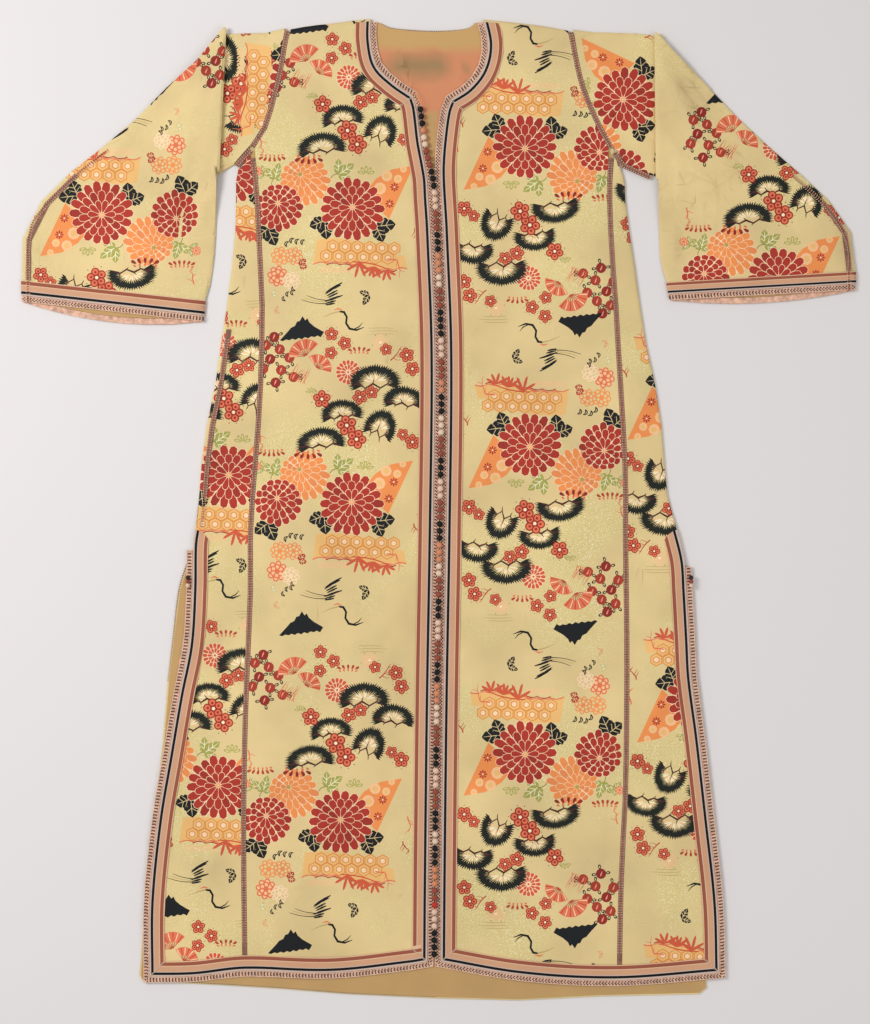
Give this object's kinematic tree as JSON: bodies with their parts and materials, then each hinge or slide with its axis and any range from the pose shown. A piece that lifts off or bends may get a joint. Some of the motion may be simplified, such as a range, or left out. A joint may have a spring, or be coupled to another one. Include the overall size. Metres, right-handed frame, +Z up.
{
  "type": "kaftan",
  "caption": "Long-sleeved flared kaftan of flowered gold brocade laid out flat, face up, with woven bands, lace edges, side slits and a row of knot buttons.",
  "frame": {"origin": "middle of the footprint of the kaftan, on the surface that it lies on", "axes": "+Y runs up the garment to the neck, +X to the right of someone looking down on its front, +Z up out of the surface"},
  "size_m": [1.2096, 1.422, 0.0116],
  "materials": {
    "brocade": "silk brocade, gold ground with woven flowers, soft sheen",
    "lining": "plain tan cotton sateen, matt",
    "band": "woven silk band, salmon with rust and black stripes",
    "lace": "needle-lace edging in pink and dark brown thread",
    "ladder": "ladder stitch in pink and dark brown thread",
    "knots": "silk thread knots in groups of black, rust and cream"
  },
  "bodies": {
    "root": {"back_panel": "brocade", "back_lining": "lining", "side_seam_left": "ladder", "button_row": "knots", "front_panel_left": "brocade", "side_gore_left": "brocade", "sleeve_left": "brocade", "sleeve_lining_left": "lining", "neck_band_left": "band", "front_band_left": "band", "hem_band_left": "band", "slit_band_left": "band", "cuff_band_left": "band", "edging_left": "lace", "cuff_edging_left": "lace", "gore_seam_left": "ladder", "armhole_seam_left": "ladder", "underarm_seam_left": "ladder", "sleeve_seam_left": "ladder", "slit_knot_left": "lace", "front_panel_right": "brocade", "side_gore_right": "brocade", "sleeve_right": "brocade", "sleeve_lining_right": "lining", "neck_band_right": "band", "front_band_right": "band", "hem_band_right": "band", "slit_band_right": "band", "cuff_band_right": "band", "edging_right": "lace", "cuff_edging_right": "lace", "gore_seam_right": "ladder", "armhole_seam_right": "ladder", "underarm_seam_right": "ladder", "sleeve_seam_right": "ladder", "slit_knot_right": "lace"}
  },
  "joints": []
}
